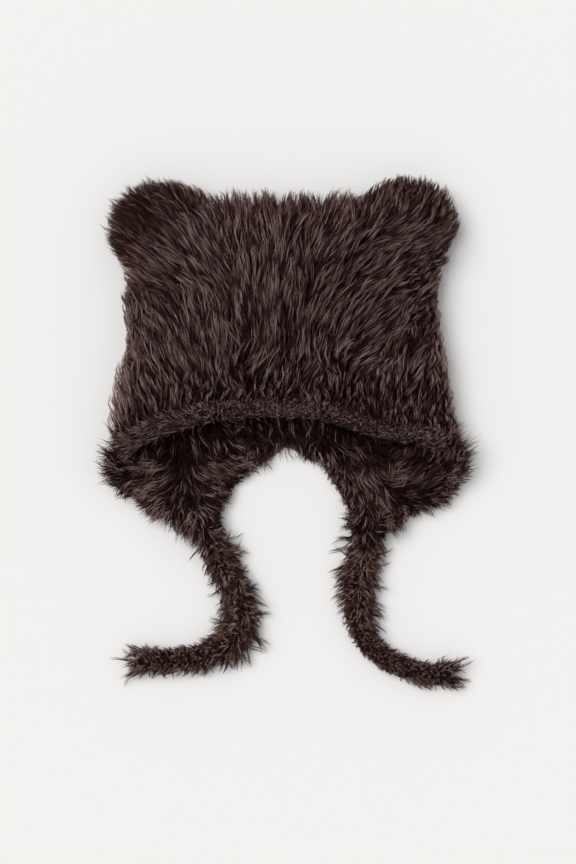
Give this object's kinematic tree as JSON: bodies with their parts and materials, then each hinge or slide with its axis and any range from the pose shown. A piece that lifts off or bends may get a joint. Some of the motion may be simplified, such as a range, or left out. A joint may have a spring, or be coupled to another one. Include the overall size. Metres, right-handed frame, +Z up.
{
  "type": "animal-eared furry knit bonnet",
  "caption": "Furry knitted bonnet with rounded animal ears, a rolled front band, earflaps and furry tie cords, lying flat.",
  "frame": {"origin": "on the surface that the hat lies on, under the middle of the cap with its ears and earflaps, the ties left out", "axes": "+Z up from the surface, +Y towards the ears, +X to the right as seen from above with the ears at the far side"},
  "size_m": [0.286, 0.4042, 0.0428],
  "materials": {
    "fur": "long brushed dark brown yarn fur with a soft sheen",
    "band_knit": "matte short-haired dark brown knit",
    "tie_knit": "matte fuzzy dark brown knit"
  },
  "bodies": {
    "root": {"crown_front": "fur", "crown_back": "fur", "ear_left": "fur", "ear_right": "fur", "front_band": "band_knit", "flap_left": "fur", "flap_right": "fur", "tie_left": "tie_knit", "tie_right": "tie_knit", "tie_fur_left": "fur", "tie_fur_right": "fur"}
  },
  "joints": []
}
